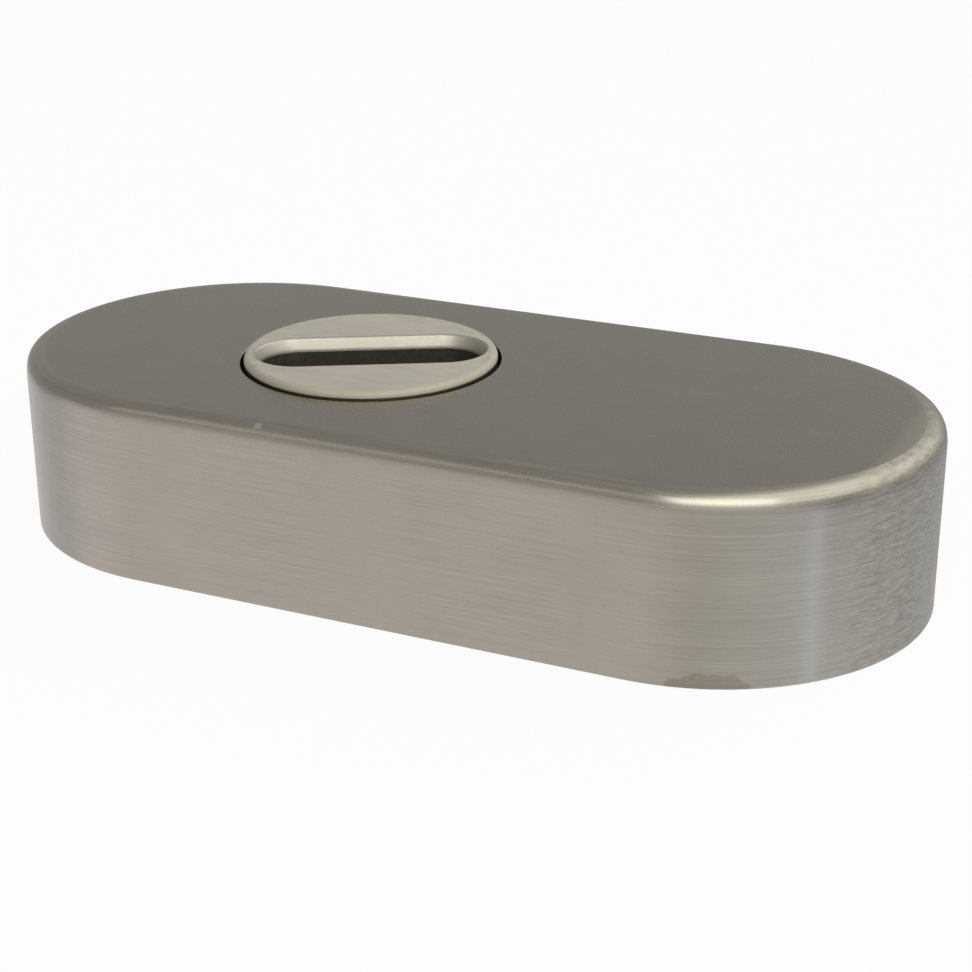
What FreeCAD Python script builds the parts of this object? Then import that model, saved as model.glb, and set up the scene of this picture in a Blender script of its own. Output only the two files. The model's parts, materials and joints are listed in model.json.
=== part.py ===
import FreeCAD, Part
import math
import os

# A security escutcheon for a profile cylinder: an oval cover over a steel base, with a
# turning disc in front of the cylinder. Millimetres. The door face is z = 0 and the
# visible face looks along +Z. The cover's long axis is X, and its middle is x = y = 0.

# Profile cylinder that the escutcheon guards
cylinder_head_diameter = 17.0
cylinder_leg_width = 10.0
cylinder_height = 33.0
cylinder_clearance = 0.25

# Cover, drawn from sheet
cover_length = 71.5
cover_width = 33.0
cover_height = 13.8
cover_wall = 1.2
cover_top = 1.5
cover_edge_radius = 1.2
cover_inner_radius = 0.5
cover_hole_chamfer = 0.15

# Turning disc with its key slot
disc_axis_x = -7.8
disc_diameter = 19.2
disc_proud = 0.6
disc_rim_radius = 0.3
disc_flange_width = 1.6
disc_flange_thickness = 1.15
disc_spigot_depth = 0.8
slot_turn = 29.0
slot_length = 18.0
slot_width = 7.2
slot_lead_in = 0.7
slot_groove_depth = 2.5
key_slot_length = 13.6
key_slot_width = 3.4
hard_pin_diameter = 2.4
hard_pin_length = 3.4
hard_pin_offset = 6.2

# Guard plate under the cover, and the screws that hold it
guard_plate_thickness = 1.5
screw_diameter = 2.5
screw_head_diameter = 4.6
screw_head_sink = 0.05
screw_depth = 5.5
screw_socket_width = 1.5
screw_socket_depth = 0.7
end_screw_from_end = 8.25
end_screw_from_side = 7.7
middle_screw_past_leg = 1.0
middle_screw_from_side = 5.5

# Carrier that moves the disc in depth, and what guides it
disc_travel = 1.8
carrier_floor = 1.5
carrier_rim = 0.25
bush_wall = 0.5
bush_flange = 0.3
bush_length = 0.9
slip_washer_thickness = 0.3
guide_pin_diameter = 2.0
guide_pin_x = 12.4
guide_pin_y = 8.6
guide_pin_bottom = 1.0
guide_pin_chamfer = 0.15
ear_wall = 1.6
spring_wire = 0.5
spring_coil_diameter = 3.0
spring_turns = 4.5
spring_seat = 3.0
spring_pocket_gap = 0.35

# Threaded sleeves for the bolts that come through the door
bolt_spacing = 50.0
sleeve_thread_bore = 5.0
sleeve_thread_depth = 7.0
sleeve_diameter = 8.0
sleeve_head_diameter = 10.4
sleeve_head_flats = 8.4
sleeve_head_thickness = 1.5
sleeve_ball_diameter = 3.0

# Spring clips that hold the cover, and the gasket at the door
clip_x = 14.0
clip_length = 7.0
clip_thickness = 0.35
clip_bottom = 2.3
clip_leg = 1.1
clip_bump_height = 3.2
clip_bump = 1.0
clip_pocket_depth = 0.9
clip_groove_depth = 0.4
gasket_width = 1.6
gasket_thickness = 0.8
gasket_inset = 1.2

# Clearances
seat_clearance = 0.1
disc_gap = 0.4
plate_hole_gap = 0.2
running_clearance = 0.08
sliding_clearance = 0.06
carrier_clearance = 0.3
end_play = 0.05
ball_clearance = 0.05

# Heights that follow, from the door face upwards
plate_top = cover_height - cover_top - seat_clearance
plate_bottom = plate_top - guard_plate_thickness
flange_top = plate_bottom - end_play
flange_bottom = flange_top - disc_flange_thickness
bush_top = flange_bottom - end_play
carrier_top = bush_top - bush_flange
carrier_bottom = carrier_top - carrier_floor
cavity_floor = carrier_bottom - disc_travel - carrier_clearance
post_top = plate_bottom - end_play

# Radii that follow, from the disc's axis outwards
neck_radius = disc_diameter / 2
flange_radius = neck_radius + disc_flange_width
head_bore_radius = cylinder_head_diameter / 2 + cylinder_clearance
spigot_radius = head_bore_radius
bush_bore_radius = spigot_radius + running_clearance
bush_radius = bush_bore_radius + bush_wall
carrier_radius = flange_radius + carrier_rim
cavity_radius = carrier_radius + carrier_clearance

# Widths that follow
base_length = cover_length - 2 * (cover_wall + seat_clearance)
base_width = cover_width - 2 * (cover_wall + seat_clearance)
leg_half_width = cylinder_leg_width / 2 + cylinder_clearance
leg_centre_x = disc_axis_x + cylinder_height - cylinder_head_diameter / 2 - cylinder_leg_width / 2
ear_radius = guide_pin_diameter / 2 + ear_wall
end_screw_x = cover_length / 2 - end_screw_from_end
end_screw_y = cover_width / 2 - end_screw_from_side
middle_screw_x = leg_centre_x + middle_screw_past_leg
middle_screw_y = cover_width / 2 - middle_screw_from_side


def point(x, y, z):
    return FreeCAD.Vector(x, y, z)


def round_bar(diameter, low, high, x=0.0, y=0.0):
    return Part.makeCylinder(diameter / 2, high - low, point(x, y, low))


def ring(outer_radius, inner_radius, low, high, x):
    return round_bar(2 * outer_radius, low, high, x).cut(round_bar(2 * inner_radius, low, high, x))


def block(left, right, front, back, low, high):
    return Part.makeBox(right - left, back - front, high - low, point(left, front, low))


def oval(length, width, low, high):
    """A prism with two straight sides and two half-round ends, centred on the origin."""
    radius = width / 2
    end = length / 2 - radius
    right = Part.Arc(point(end, -radius, low), point(end + radius, 0, low), point(end, radius, low))
    left = Part.Arc(point(-end, radius, low), point(-end - radius, 0, low), point(-end, -radius, low))
    back = Part.LineSegment(point(end, radius, low), point(-end, radius, low))
    front = Part.LineSegment(point(-end, -radius, low), point(end, -radius, low))
    outline = Part.Wire([curve.toShape() for curve in (right, back, left, front)])
    return Part.Face(outline).extrude(point(0, 0, high - low))


def edges_at(shape, height):
    def level(edge):
        return edge.BoundBox.ZMin > height - 1e-4 and edge.BoundBox.ZMax < height + 1e-4
    return [edge for edge in shape.Edges if level(edge)]


def on_disc(shape):
    """Turns a shape about its own Z to the slot's angle and puts it on the disc's axis."""
    shape.rotate(point(0, 0, 0), point(0, 0, 1), slot_turn)
    shape.translate(point(disc_axis_x, 0, 0))
    return shape


def ear_places():
    """The four guide pins, one in each quarter round the disc's axis."""
    return [(disc_axis_x + sx * guide_pin_x, sy * guide_pin_y) for sx in (-1, 1) for sy in (-1, 1)]


def screw_places():
    ends = [(sx * end_screw_x, sy * end_screw_y) for sx in (-1, 1) for sy in (-1, 1)]
    return ends + [(middle_screw_x, sy * middle_screw_y) for sy in (-1, 1)]


def clip_places():
    return [(sx * clip_x, sy) for sx in (-1, 1) for sy in (-1, 1)]


def ears(low, high, gap=0.0):
    """Four arms from the carrier's ring out to round ears, each grown by the gap."""
    shape = None
    radius = ear_radius + gap
    reach = math.hypot(guide_pin_x, guide_pin_y)
    for x, y in ear_places():
        arm = block(bush_radius, reach, -radius, radius, low, high)
        arm.rotate(point(0, 0, 0), point(0, 0, 1), math.degrees(math.atan2(y, x - disc_axis_x)))
        arm.translate(point(disc_axis_x, 0, 0))
        ear = arm.fuse(round_bar(2 * radius, low, high, x, y))
        shape = ear if shape is None else shape.fuse(ear)
    return shape


def leg_opening(low, high, gap=0.0):
    """The way for the cylinder's narrow leg, from the head's middle to its round end."""
    half = leg_half_width + gap
    way = block(disc_axis_x, leg_centre_x, -half, half, low, high)
    return way.fuse(round_bar(2 * half, low, high, leg_centre_x))


def cover_shell():
    outer = oval(cover_length, cover_width, 0, cover_height)
    outer = outer.makeFillet(cover_edge_radius, edges_at(outer, cover_height))
    inner_top = cover_height - cover_top
    inner = oval(cover_length - 2 * cover_wall, cover_width - 2 * cover_wall, 0, inner_top)
    inner = inner.makeFillet(cover_inner_radius, edges_at(inner, inner_top))
    hole_diameter = disc_diameter + 2 * disc_gap
    shell = outer.cut(inner).cut(round_bar(hole_diameter, 0, cover_height + 1, disc_axis_x))
    hole = [e for e in edges_at(shell, cover_height) if e.BoundBox.XLength < hole_diameter + 1e-3]
    shell = shell.makeChamfer(cover_hole_chamfer, hole)
    wall = cover_width / 2 - cover_wall
    low = clip_bottom + clip_leg
    for x, side in clip_places():
        start, stop = sorted((side * (wall - 1), side * (wall + clip_groove_depth)))
        half = clip_length / 2 + seat_clearance
        shell = shell.cut(block(x - half, x + half, start, stop, low, low + clip_bump_height))
    return shell


def base_body():
    shape = oval(base_length, base_width, 0, plate_bottom)
    head_bore = round_bar(2 * head_bore_radius, 0, plate_bottom, disc_axis_x)
    cavity = round_bar(2 * cavity_radius, cavity_floor, plate_bottom, disc_axis_x)
    cuts = [head_bore, leg_opening(0, plate_bottom), cavity]
    cuts.append(ears(cavity_floor, plate_bottom, carrier_clearance))
    pocket = spring_coil_diameter + spring_wire + 2 * spring_pocket_gap
    for x, y in ear_places():
        cuts.append(round_bar(pocket, spring_seat, cavity_floor, x, y))
        cuts.append(round_bar(guide_pin_diameter, guide_pin_bottom, spring_seat, x, y))
    for side in (-1, 1):
        cuts.append(sleeve_outline(side * bolt_spacing / 2, seat_clearance / 2))
    for x, y in screw_places():
        cuts.append(round_bar(screw_diameter, plate_bottom - screw_depth, plate_bottom, x, y))
    cuts.append(gasket_outline())
    face = base_width / 2
    half = clip_length / 2 + seat_clearance
    low = clip_bottom - seat_clearance
    high = clip_bottom + 2 * clip_leg + clip_bump_height + seat_clearance
    for x, side in clip_places():
        start, stop = sorted((side * (face - clip_pocket_depth), side * (face + 1)))
        cuts.append(block(x - half, x + half, start, stop, low, high))
    for cut in cuts:
        shape = shape.cut(cut)
    return shape.removeSplitter()


def guard_plate():
    shape = oval(base_length, base_width, plate_bottom, plate_top)
    shape = shape.makeChamfer(cover_inner_radius, edges_at(shape, plate_top))
    shape = shape.cut(round_bar(disc_diameter + 2 * plate_hole_gap, 0, plate_top, disc_axis_x))
    recess_top = plate_bottom + slip_washer_thickness
    recess = round_bar(2 * (flange_radius + plate_hole_gap), plate_bottom, recess_top, disc_axis_x)
    shape = shape.cut(recess)
    for x, y in screw_places():
        hole = round_bar(screw_diameter + 2 * seat_clearance, plate_bottom, plate_top, x, y)
        shape = shape.cut(hole).cut(countersink(x, y))
    return shape


def countersink(x, y):
    """A 90 degree cone under a short straight sink, both open at the plate's top."""
    bottom = plate_top - screw_head_sink - (screw_head_diameter - screw_diameter) / 2
    height = plate_top - screw_head_sink - bottom
    cone = Part.makeCone(screw_diameter / 2, screw_head_diameter / 2, height, point(x, y, bottom))
    return cone.fuse(round_bar(screw_head_diameter, plate_top - screw_head_sink, plate_top, x, y))


def guard_plate_screws():
    """Countersunk socket screws, in one node because they are all alike."""
    head_top = plate_top - screw_head_sink
    head_height = (screw_head_diameter - screw_diameter) / 2
    socket_radius = screw_socket_width / math.sqrt(3)
    screws = []
    for x, y in screw_places():
        head = Part.makeCone(screw_diameter / 2, screw_head_diameter / 2, head_height,
                             point(x, y, head_top - head_height))
        shank = round_bar(screw_diameter, plate_bottom - screw_depth, head_top - head_height, x, y)
        corners = [point(x + socket_radius * math.cos(math.radians(60 * i)),
                         y + socket_radius * math.sin(math.radians(60 * i)),
                         head_top - screw_socket_depth) for i in range(7)]
        socket = Part.Face(Part.makePolygon(corners)).extrude(point(0, 0, screw_socket_depth))
        screws.append(head.fuse(shank).removeSplitter().cut(socket))
    return Part.makeCompound(screws)


def key_disc():
    top = cover_height + disc_proud
    neck = Part.makeCylinder(neck_radius, top - flange_top, point(0, 0, flange_top))
    neck = neck.makeFillet(disc_rim_radius, edges_at(neck, top))
    flange = Part.makeCylinder(flange_radius, disc_flange_thickness, point(0, 0, flange_bottom))
    spigot_bottom = flange_bottom - disc_spigot_depth
    spigot = Part.makeCylinder(spigot_radius, disc_spigot_depth, point(0, 0, spigot_bottom))
    shape = neck.fuse(flange).fuse(spigot).removeSplitter()
    shape = shape.cut(oval(key_slot_length, key_slot_width, spigot_bottom, top))
    inner_length = slot_length - 2 * slot_lead_in
    inner_width = slot_width - 2 * slot_lead_in
    shape = shape.cut(oval(inner_length, inner_width, top - slot_groove_depth, top))
    slot = [e for e in edges_at(shape, top) if e.BoundBox.XMax < neck_radius - disc_rim_radius - 0.1]
    shape = shape.makeChamfer(slot_lead_in, slot)
    for side in (-1, 1):
        place = side * hard_pin_offset
        shape = shape.cut(round_bar(hard_pin_diameter, spigot_bottom,
                                    spigot_bottom + hard_pin_length, 0, place))
    return on_disc(shape)


def hard_pin(side):
    """One of two hardened pins pressed into the disc's back, beside the slot."""
    low = flange_bottom - disc_spigot_depth
    return on_disc(round_bar(hard_pin_diameter, low, low + hard_pin_length, 0, side * hard_pin_offset))


def slip_washer():
    inner = neck_radius + plate_hole_gap
    return ring(flange_radius, inner, plate_bottom, plate_bottom + slip_washer_thickness, disc_axis_x)


def disc_bush():
    """A flanged bearing: its flange carries the disc, its sleeve centres the disc's spigot."""
    flange = ring(flange_radius, bush_bore_radius, carrier_top, bush_top, disc_axis_x)
    sleeve = ring(bush_radius, bush_bore_radius, carrier_top - bush_length, carrier_top, disc_axis_x)
    sleeve = sleeve.cut(leg_opening(carrier_top - bush_length, carrier_top, seat_clearance))
    return flange.fuse(sleeve).removeSplitter()


def disc_carrier():
    """An open ring with four ears, whose posts stop against the guard plate."""
    shape = round_bar(2 * carrier_radius, carrier_bottom, carrier_top, disc_axis_x)
    shape = shape.fuse(ears(carrier_bottom, carrier_top))
    for x, y in ear_places():
        post = round_bar(2 * ear_radius, carrier_top, post_top, x, y)
        shape = shape.fuse(post)
    clear = round_bar(2 * (flange_radius + carrier_clearance), carrier_top, post_top, disc_axis_x)
    shape = shape.cut(clear).removeSplitter()
    shape = shape.cut(round_bar(2 * bush_radius, carrier_bottom, carrier_top, disc_axis_x))
    shape = shape.cut(leg_opening(carrier_bottom, carrier_top, seat_clearance))
    for x, y in ear_places():
        hole = guide_pin_diameter + 2 * sliding_clearance
        shape = shape.cut(round_bar(hole, carrier_bottom, post_top, x, y))
    return shape


def guide_pin(x, y):
    top = plate_bottom - seat_clearance
    pin = round_bar(guide_pin_diameter, guide_pin_bottom, top, x, y)
    ends = edges_at(pin, guide_pin_bottom) + edges_at(pin, top)
    return pin.makeChamfer(guide_pin_chamfer, ends)


def arc_from_corner(start, corner, end):
    """The arc from start to end whose tangents there meet at the corner."""
    middle = (start + end) * 0.5
    half_chord = (end - start).Length / 2
    rise = (corner - middle).Length
    sagitta = half_chord * math.tan(math.atan2(rise, half_chord) / 2)
    return Part.Arc(start, middle + (corner - middle) * (sagitta / rise), end).toShape()


def biarc(start, start_way, end, end_way):
    """Two arcs that leave start and reach end along the given unit directions."""
    span = end - start
    total = start_way + end_way
    a = 2 * (1 - start_way.dot(end_way))
    b = 2 * span.dot(total)
    c = -span.dot(span)
    reach = (-b + math.sqrt(b * b - 4 * a * c)) / (2 * a)
    first = start + start_way * reach
    second = end - end_way * reach
    joint = (first + second) * 0.5
    return [arc_from_corner(start, first, joint), arc_from_corner(joint, second, end)]


def depth_spring(x, y):
    """A compression spring round a guide pin, wound as quarter turns."""
    radius = spring_coil_diameter / 2
    low = spring_seat + end_play + spring_wire / 2
    rise = carrier_bottom - end_play - spring_wire / 2 - low
    quarters = round(spring_turns * 4)
    slope = rise / (2 * math.pi * spring_turns)

    def at(quarter):
        angle = quarter * math.pi / 2
        return point(x + radius * math.cos(angle), y + radius * math.sin(angle),
                     low + slope * angle)

    def way(quarter):
        angle = quarter * math.pi / 2
        direction = point(-radius * math.sin(angle), radius * math.cos(angle), slope)
        return direction.normalize()

    edges = []
    for quarter in range(quarters):
        edges += biarc(at(quarter), way(quarter), at(quarter + 1), way(quarter + 1))
    section = Part.Wire(Part.makeCircle(spring_wire / 2, at(0), way(0)))
    return Part.Wire(edges).makePipeShell([section], True, False)


def sleeve_outline(x, gap=0.0):
    """The sleeve's outside: a round body and a head with two flats, grown by the gap at the head."""
    head_bottom = plate_bottom - sleeve_head_thickness
    half = sleeve_head_flats / 2 + gap
    head = round_bar(sleeve_head_diameter + 2 * gap, head_bottom, plate_bottom, x)
    flats = block(x - half, x + half, -sleeve_head_diameter, sleeve_head_diameter,
                  head_bottom, plate_bottom)
    return round_bar(sleeve_diameter, 0, head_bottom, x).fuse(head.common(flats))


def threaded_sleeve(x):
    """A steel sleeve with a blind bore for the bolt thread, and a pocket for its hard ball."""
    shape = sleeve_outline(x).cut(round_bar(sleeve_thread_bore, 0, sleeve_thread_depth, x))
    pocket = sleeve_ball_diameter + 2 * ball_clearance
    return shape.cut(round_bar(pocket, plate_bottom - pocket, plate_bottom, x))


def guard_ball(x):
    height = plate_bottom - sleeve_ball_diameter / 2 - ball_clearance
    return Part.makeSphere(sleeve_ball_diameter / 2, point(x, 0, height))


def gasket_outline():
    length = base_length - 2 * gasket_inset
    width = base_width - 2 * gasket_inset
    hole = oval(length - 2 * gasket_width, width - 2 * gasket_width, 0, gasket_thickness)
    return oval(length, width, 0, gasket_thickness).cut(hole)


def cover_clip(x, side):
    """A strip of spring steel: a leg, a bump that springs into the cover's groove, a leg."""
    seat = base_width / 2 - clip_pocket_depth
    low = clip_bottom
    middle = low + clip_leg + clip_bump_height / 2
    high = low + 2 * clip_leg + clip_bump_height
    profile = [(0, low), (0, low + clip_leg), (clip_bump, middle), (0, high - clip_leg), (0, high)]
    inner = [point(x - clip_length / 2, side * (seat + y), z) for y, z in profile]
    outer = [point(x - clip_length / 2, side * (seat + y + clip_thickness), z) for y, z in profile]
    corners = inner + outer[::-1] + inner[:1]
    return Part.Face(Part.makePolygon(corners)).extrude(point(clip_length, 0, 0))


def nodes():
    made = {
        "cover_shell": cover_shell(),
        "base_body": base_body(),
        "guard_plate": guard_plate(),
        "guard_plate_screws": guard_plate_screws(),
        "key_disc": key_disc(),
        "disc_hard_pin_left": hard_pin(1),
        "disc_hard_pin_right": hard_pin(-1),
        "slip_washer": slip_washer(),
        "disc_bush": disc_bush(),
        "disc_carrier": disc_carrier(),
        "back_gasket": gasket_outline(),
    }
    for number, (x, y) in enumerate(ear_places(), 1):
        made[f"guide_pin_{number}"] = guide_pin(x, y)
        made[f"depth_spring_{number}"] = depth_spring(x, y)
    for name, side in (("left", -1), ("right", 1)):
        made[f"{name}_threaded_sleeve"] = threaded_sleeve(side * bolt_spacing / 2)
        made[f"{name}_guard_ball"] = guard_ball(side * bolt_spacing / 2)
    for number, (x, side) in enumerate(clip_places(), 1):
        made[f"cover_clip_{number}"] = cover_clip(x, side)
    return made


os.makedirs("parts", exist_ok=True)
for name, shape in nodes().items():
    shape.exportStep(f"parts/{name}.step")
    print(name, "solids", len(shape.Solids), "volume", round(shape.Volume, 2), "valid", shape.isValid())
turn_gap = (carrier_bottom - spring_seat - 2 * end_play - spring_wire) / spring_turns - spring_wire
print("least gap between spring turns", round(turn_gap, 2))
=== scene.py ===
import json
import math

import bmesh
import bpy
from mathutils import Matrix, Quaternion, Vector


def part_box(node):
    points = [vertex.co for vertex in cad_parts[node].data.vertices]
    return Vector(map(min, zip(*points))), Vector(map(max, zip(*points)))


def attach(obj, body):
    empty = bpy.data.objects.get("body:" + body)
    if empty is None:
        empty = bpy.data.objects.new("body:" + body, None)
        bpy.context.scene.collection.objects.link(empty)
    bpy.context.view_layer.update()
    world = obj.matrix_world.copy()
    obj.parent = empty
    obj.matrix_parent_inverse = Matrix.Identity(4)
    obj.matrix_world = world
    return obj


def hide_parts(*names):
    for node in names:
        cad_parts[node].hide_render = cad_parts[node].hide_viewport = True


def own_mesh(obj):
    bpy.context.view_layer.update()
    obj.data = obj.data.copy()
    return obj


# A security escutcheon in stainless steel: an oval cover with a turning key disc, over the
# working parts that guard a lock cylinder. Metres, with the door face at z = 0.

bl_info = {
    "name": "Security Escutcheon",
    "version": (1, 0, 0),
    "blender": (4, 5, 0),
    "location": "View3D > Sidebar > Escutcheon",
    "description": "Models and finishes an oval security escutcheon around its CAD parts",
    "category": "Object",
}

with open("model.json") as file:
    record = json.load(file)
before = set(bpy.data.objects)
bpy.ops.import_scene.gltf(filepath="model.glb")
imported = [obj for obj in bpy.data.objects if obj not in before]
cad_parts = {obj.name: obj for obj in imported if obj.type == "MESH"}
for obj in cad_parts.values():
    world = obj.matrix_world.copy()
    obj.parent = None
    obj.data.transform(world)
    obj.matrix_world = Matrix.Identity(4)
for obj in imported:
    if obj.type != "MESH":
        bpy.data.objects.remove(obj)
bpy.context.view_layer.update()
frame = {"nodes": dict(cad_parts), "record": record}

MM = 0.001

# Places that are nearer to each other than a hair count as one, and vertices that are nearer than
# the merge distance become one.
HAIR = 0.002 * MM
MERGE_DISTANCE = 0.0005 * MM

# A face is level where its normal's z is over LEVEL, and a wall where it is under STEEP.
LEVEL = 0.999
STEEP = 0.5

# Faces that meet at less than this angle are shaded as one smooth surface.
SMOOTH_ANGLE = math.radians(30)

# Steps round an outline, round the circle that an oval's two ends come from, round a peg, round
# a spring's wire, along one turn of it, and across a rounded edge.
OUTLINE_STEPS = 240
OVAL_ENDS_STEPS = 236
PEG_STEPS = 48
WIRE_STEPS = 16
TURN_STEPS = 40
ROUNDING_STEPS = 16
INNER_ROUNDING_STEPS = 8
SMALL_ROUNDING_STEPS = 3

# The cover's drawn edge runs gently into its face and side, with its tightest turn between
# them: at this profile an edge that reaches 2.2 mm has the middle of a 1.2 mm rounding.
SOFT_PROFILE = 0.706


def linear_colour(hex_value):
    """The linear RGB of an sRGB hex value such as #A29B91."""
    levels = [int(hex_value[i:i + 2], 16) / 255 for i in (1, 3, 5)]
    return [c / 12.92 if c <= 0.04045 else ((c + 0.055) / 1.055) ** 2.4 for c in levels]


def length_property(name, description, millimetres):
    """A length that the user can change, given here in millimetres."""
    return bpy.props.FloatProperty(name=name, description=description,
                                   default=millimetres * MM, unit="LENGTH", precision=5)


def colour_property(name, description, hex_value):
    """A colour that the user can change, given here in sRGB."""
    return bpy.props.FloatVectorProperty(name=name, description=description, subtype="COLOR",
                                         default=linear_colour(hex_value), min=0.0, max=1.0)


class EscutcheonSizes(bpy.types.PropertyGroup):
    """Sizes of the modelled pieces. What isn't here is read from the CAD nodes."""
    cover_wall: length_property("Cover wall", "Thickness of the cover's side wall", 1.2)
    cover_top: length_property("Cover top", "Thickness of the cover's face", 1.5)
    cover_edge: length_property("Cover edge", "Reach of the soft edge round the face", 2.2)
    cover_inner_edge: length_property("Inner edge", "Radius inside the cover", 0.5)
    cover_rim: length_property("Cover rim", "Rounding of the cover's back rim", 0.12)
    hole_diameter: length_property("Hole", "Diameter of the cover's hole for the disc", 19.7)
    hole_edge: length_property("Hole edge", "Rounding of the hole's front edge", 0.15)
    clip_groove_length: length_property("Groove length", "Length of a cover clip's groove", 7.2)
    clip_groove_depth: length_property("Groove depth", "Depth of a cover clip's groove", 0.4)
    clip_groove_low: length_property("Groove bottom", "Height where a clip groove starts", 3.4)
    clip_groove_high: length_property("Groove top", "Height where a clip groove ends", 6.6)
    clip_x: length_property("Clip place", "Distance of the clips from the middle", 14.0)
    disc_axis: length_property("Disc axis", "Place of the disc's axis on the long axis", -7.8)
    disc_diameter: length_property("Disc", "Diameter of the disc's visible face", 19.2)
    disc_rim: length_property("Disc rim", "Radius at the rim of the disc's face", 0.5)
    flange_diameter: length_property("Flange", "Diameter of the disc's hidden flange", 22.4)
    flange_low: length_property("Flange bottom", "Height of the flange's back", 9.5)
    flange_high: length_property("Flange top", "Height of the flange's front", 10.65)
    spigot_diameter: length_property("Spigot", "Diameter of the disc's spigot", 17.5)
    slot_length: length_property("Slot length", "Length of the key slot over its lead-in", 17.6)
    slot_width: length_property("Slot width", "Width of the key slot over its lead-in", 6.7)
    slot_lead_in: length_property("Lead-in", "Width of the slot's lead-in", 0.35)
    slot_lead_depth: length_property("Lead-in depth", "Depth of the slot's lead-in", 0.88)
    slot_edge: length_property("Slot edge", "Rounding of the lead-in's edges", 0.14)
    slot_depth: length_property("Slot depth", "Depth of the wide part of the slot", 2.5)
    slot_step: length_property("Slot step", "Step from the wide part to the key's way", 1.45)
    pin_diameter: length_property("Hard pin", "Diameter of a hard pin's hole", 2.4)
    pin_offset: length_property("Pin offset", "Distance of a hard pin from the disc's axis", 6.2)
    pin_depth: length_property("Pin depth", "Depth of a hard pin's hole", 3.4)
    spring_wire: length_property("Spring wire", "Thickness of a depth spring's wire", 0.5)
    spring_seat: length_property("Spring seat", "Height of the seat below a depth spring", 3.0)
    slot_turn: bpy.props.FloatProperty(
        name="Slot turn", description="Angle of the key slot from the cover's long axis",
        default=math.radians(29), subtype="ANGLE")
    spring_turns: bpy.props.FloatProperty(
        name="Spring turns", description="Turns of wire in a depth spring", default=4.5)


class EscutcheonFinish(bpy.types.PropertyGroup):
    """Colours of the finishes."""
    cover: colour_property("Cover", "Brushed stainless steel of the cover", "#A7A095")
    # The face's colour is a shade darker than the cover's: painted shade that keeps the lamps'
    # reflection in it from burning out.
    face: colour_property("Face", "Fine matt stainless steel of the cover's face", "#A19A8F")
    disc: colour_property("Disc", "Satin stainless steel of the disc", "#CEC8BB")
    # The slot's colour is the disc's steel darkened: painted shade in the slot's depth and on the
    # disc's neck.
    slot: colour_property("Slot", "Milled walls of the slot and the disc's neck", "#5F5B53")
    # The lead-in's and the rim's colours are the disc's steel darkened: painted shade that tones
    # their highlights down.
    lip: colour_property("Lip", "Milled lead-in of the slot's mouth", "#B1AB9F")
    rim: colour_property("Rim", "Turned rim of the disc, duller than its face", "#BFB9AC")
    base: colour_property("Base", "Phosphated steel of the base", "#5A5956")
    hardened: colour_property("Hardened", "Blued hardened steel", "#55565C")
    plated: colour_property("Plated", "Bright zinc plate", "#C4C6CB")
    ground: colour_property("Ground", "Ground steel pins", "#B4B4B6")
    spring: colour_property("Spring", "Oiled spring steel", "#8E8E92")
    brass: colour_property("Brass", "Turned bearing brass", "#CDA45B")
    nylon: colour_property("Nylon", "White moulded nylon", "#E6E3D8")
    rubber: colour_property("Rubber", "Black closed-cell rubber", "#1D1D1D")


# Modelling


def deselect():
    """Leaves edit mode and selects nothing."""
    if bpy.context.mode != "OBJECT":
        bpy.ops.object.mode_set(mode="OBJECT")
    bpy.ops.object.select_all(action="DESELECT")


def take(piece):
    """Selects this piece and no other, and makes it the active one."""
    deselect()
    piece.select_set(True)
    bpy.context.view_layer.objects.active = piece


def edit(piece):
    """Opens the piece in edit mode, selected all over."""
    take(piece)
    bpy.ops.object.mode_set(mode="EDIT")
    bpy.ops.mesh.select_all(action="SELECT")


def pick(kind, test):
    """In edit mode, selects the vertices or edges that pass the test and no others."""
    bpy.ops.mesh.select_mode(type=kind)
    bpy.ops.mesh.select_all(action="DESELECT")
    mesh = bpy.context.edit_object.data
    shape = bmesh.from_edit_mesh(mesh)
    for part in {"VERT": shape.verts, "EDGE": shape.edges}[kind]:
        if test(part):
            part.select_set(True)
    shape.select_flush_mode()
    bmesh.update_edit_mesh(mesh)


def at_height(height):
    """A test that an edge passes where all of it lies at this height."""
    return lambda edge: all(abs(v.co.z - height) < HAIR for v in edge.verts)


def round_edges(test, radius, steps, profile=0.5):
    """In edit mode, rounds the edges that pass the test. A higher profile is a fuller edge."""
    pick("EDGE", test)
    bpy.ops.mesh.bevel(offset=radius, segments=steps, profile=profile, affect="EDGES",
                       clamp_overlap=False)


def apply_modifier(piece, kind, **settings):
    """Adds a modifier with these settings to the piece and applies it."""
    take(piece)
    modifier = piece.modifiers.new(kind.lower(), kind)
    for name, value in settings.items():
        setattr(modifier, name, value)
    bpy.ops.object.modifier_apply(modifier=modifier.name)


def oval_outline(length, width, height):
    """A closed outline with two straight sides and two half-round ends, mirrored from one."""
    deselect()
    reach = (length - width) / 2
    bpy.ops.mesh.primitive_circle_add(vertices=OVAL_ENDS_STEPS, radius=width / 2,
                                      enter_editmode=True)
    pick("VERT", lambda v: v.co.x < -HAIR)
    bpy.ops.mesh.delete(type="VERT")
    bpy.ops.mesh.select_all(action="SELECT")
    bpy.ops.transform.translate(value=(reach, 0, height))
    pick("VERT", lambda v: v.co.x < reach + HAIR)
    bpy.ops.mesh.extrude_region_move(TRANSFORM_OT_translate={"value": (-reach, 0, 0)})
    bpy.ops.object.mode_set(mode="OBJECT")
    outline = bpy.context.active_object
    apply_modifier(outline, "MIRROR", merge_threshold=HAIR)
    return outline


def circle_outline(radius, height, x):
    """A closed round outline with its middle on the long axis."""
    deselect()
    bpy.ops.mesh.primitive_circle_add(vertices=OUTLINE_STEPS, radius=radius,
                                      location=(x, 0, height))
    bpy.ops.object.transform_apply()
    return bpy.context.active_object


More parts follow.
